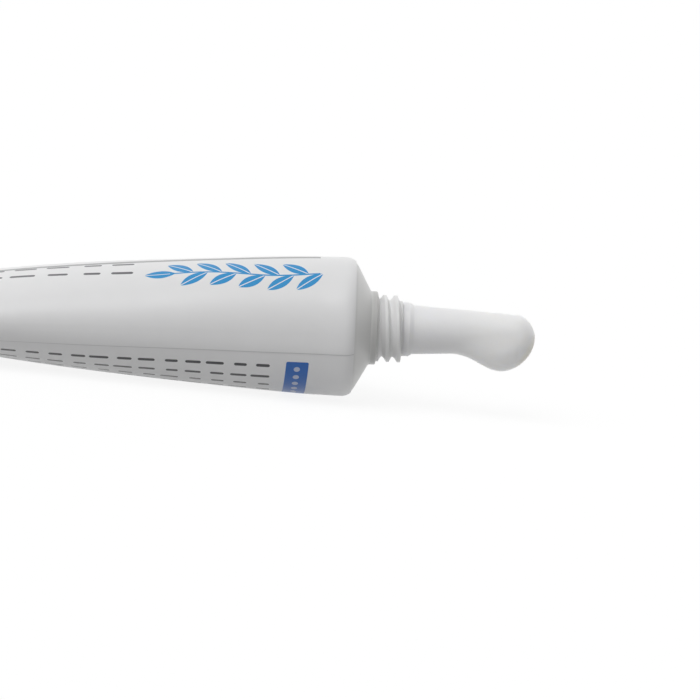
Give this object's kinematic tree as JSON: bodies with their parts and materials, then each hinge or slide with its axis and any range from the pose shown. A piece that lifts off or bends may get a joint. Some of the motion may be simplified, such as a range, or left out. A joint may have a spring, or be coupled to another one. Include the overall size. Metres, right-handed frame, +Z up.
{
  "type": "adhesive squeeze tube",
  "caption": "White laminated squeeze tube lying on its belly, with a threaded neck, a tapered nozzle, a drop of adhesive hanging from its end and a ribbed screw cap standing behind the tail.",
  "frame": {"origin": "on the table, under the middle of the tube and its cap", "axes": "+X along the tube towards the nozzle, +Z up from the table, front panel of the sleeve up"},
  "size_m": [0.1188, 0.0298, 0.0234],
  "materials": {
    "sleeve_film": "satin white laminate with a printed front and back",
    "head_plastic": "satin moulded polyethylene, a little clear, so the shoulder looks greyer than the neck",
    "barrier_film": "plain barrier film",
    "nozzle_plastic": "satin moulded polyethylene",
    "adhesive": "wet, slightly clear white latex",
    "cap_plastic": "satin moulded polypropylene"
  },
  "bodies": {
    "tube": {"sleeve": "sleeve_film", "head": "head_plastic", "barrier_disc": "barrier_film", "nozzle": "nozzle_plastic", "glue_fill": "adhesive", "glue_drop": "adhesive"},
    "screw_cap": {"cap": "cap_plastic"}
  },
  "joints": [
    {"name": "cap_lift", "type": "slide", "parent": "tube", "child": "screw_cap", "axis": [0, 0, 1], "range_m": [0, 0.05]}
  ]
}
